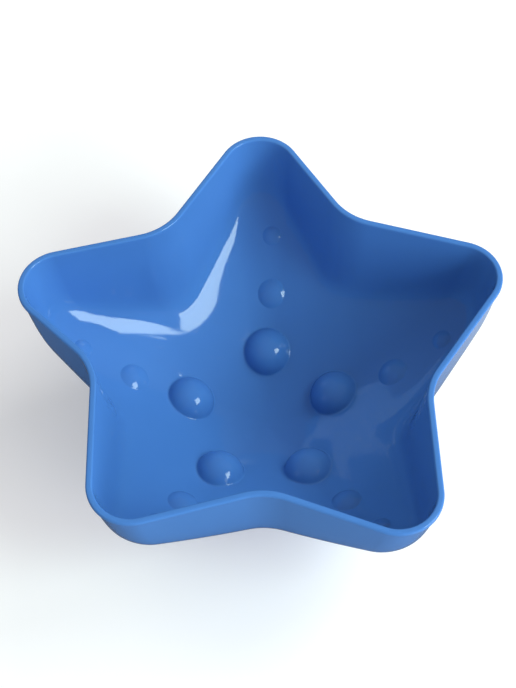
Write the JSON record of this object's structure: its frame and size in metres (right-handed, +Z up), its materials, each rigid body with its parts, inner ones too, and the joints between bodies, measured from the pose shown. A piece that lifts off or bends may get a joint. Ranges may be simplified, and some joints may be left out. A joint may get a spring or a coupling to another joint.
{
  "type": "sand mould",
  "caption": "Star shaped sand mould: one thin moulded bowl with rounded arms, drafted walls, a thickened rim and rows of round bumps on the floor with hollow backs.",
  "frame": {"origin": "middle of the small star shaped flat under the floor that the mould rests on", "axes": "+Z up, out of the open mouth; +Y towards the arm at the back; +X to the right"},
  "size_m": [0.1508, 0.1449, 0.056],
  "materials": {
    "blue_plastic": "glossy moulded polypropylene"
  },
  "bodies": {
    "root": {"mould_shell": "blue_plastic"}
  },
  "joints": []
}
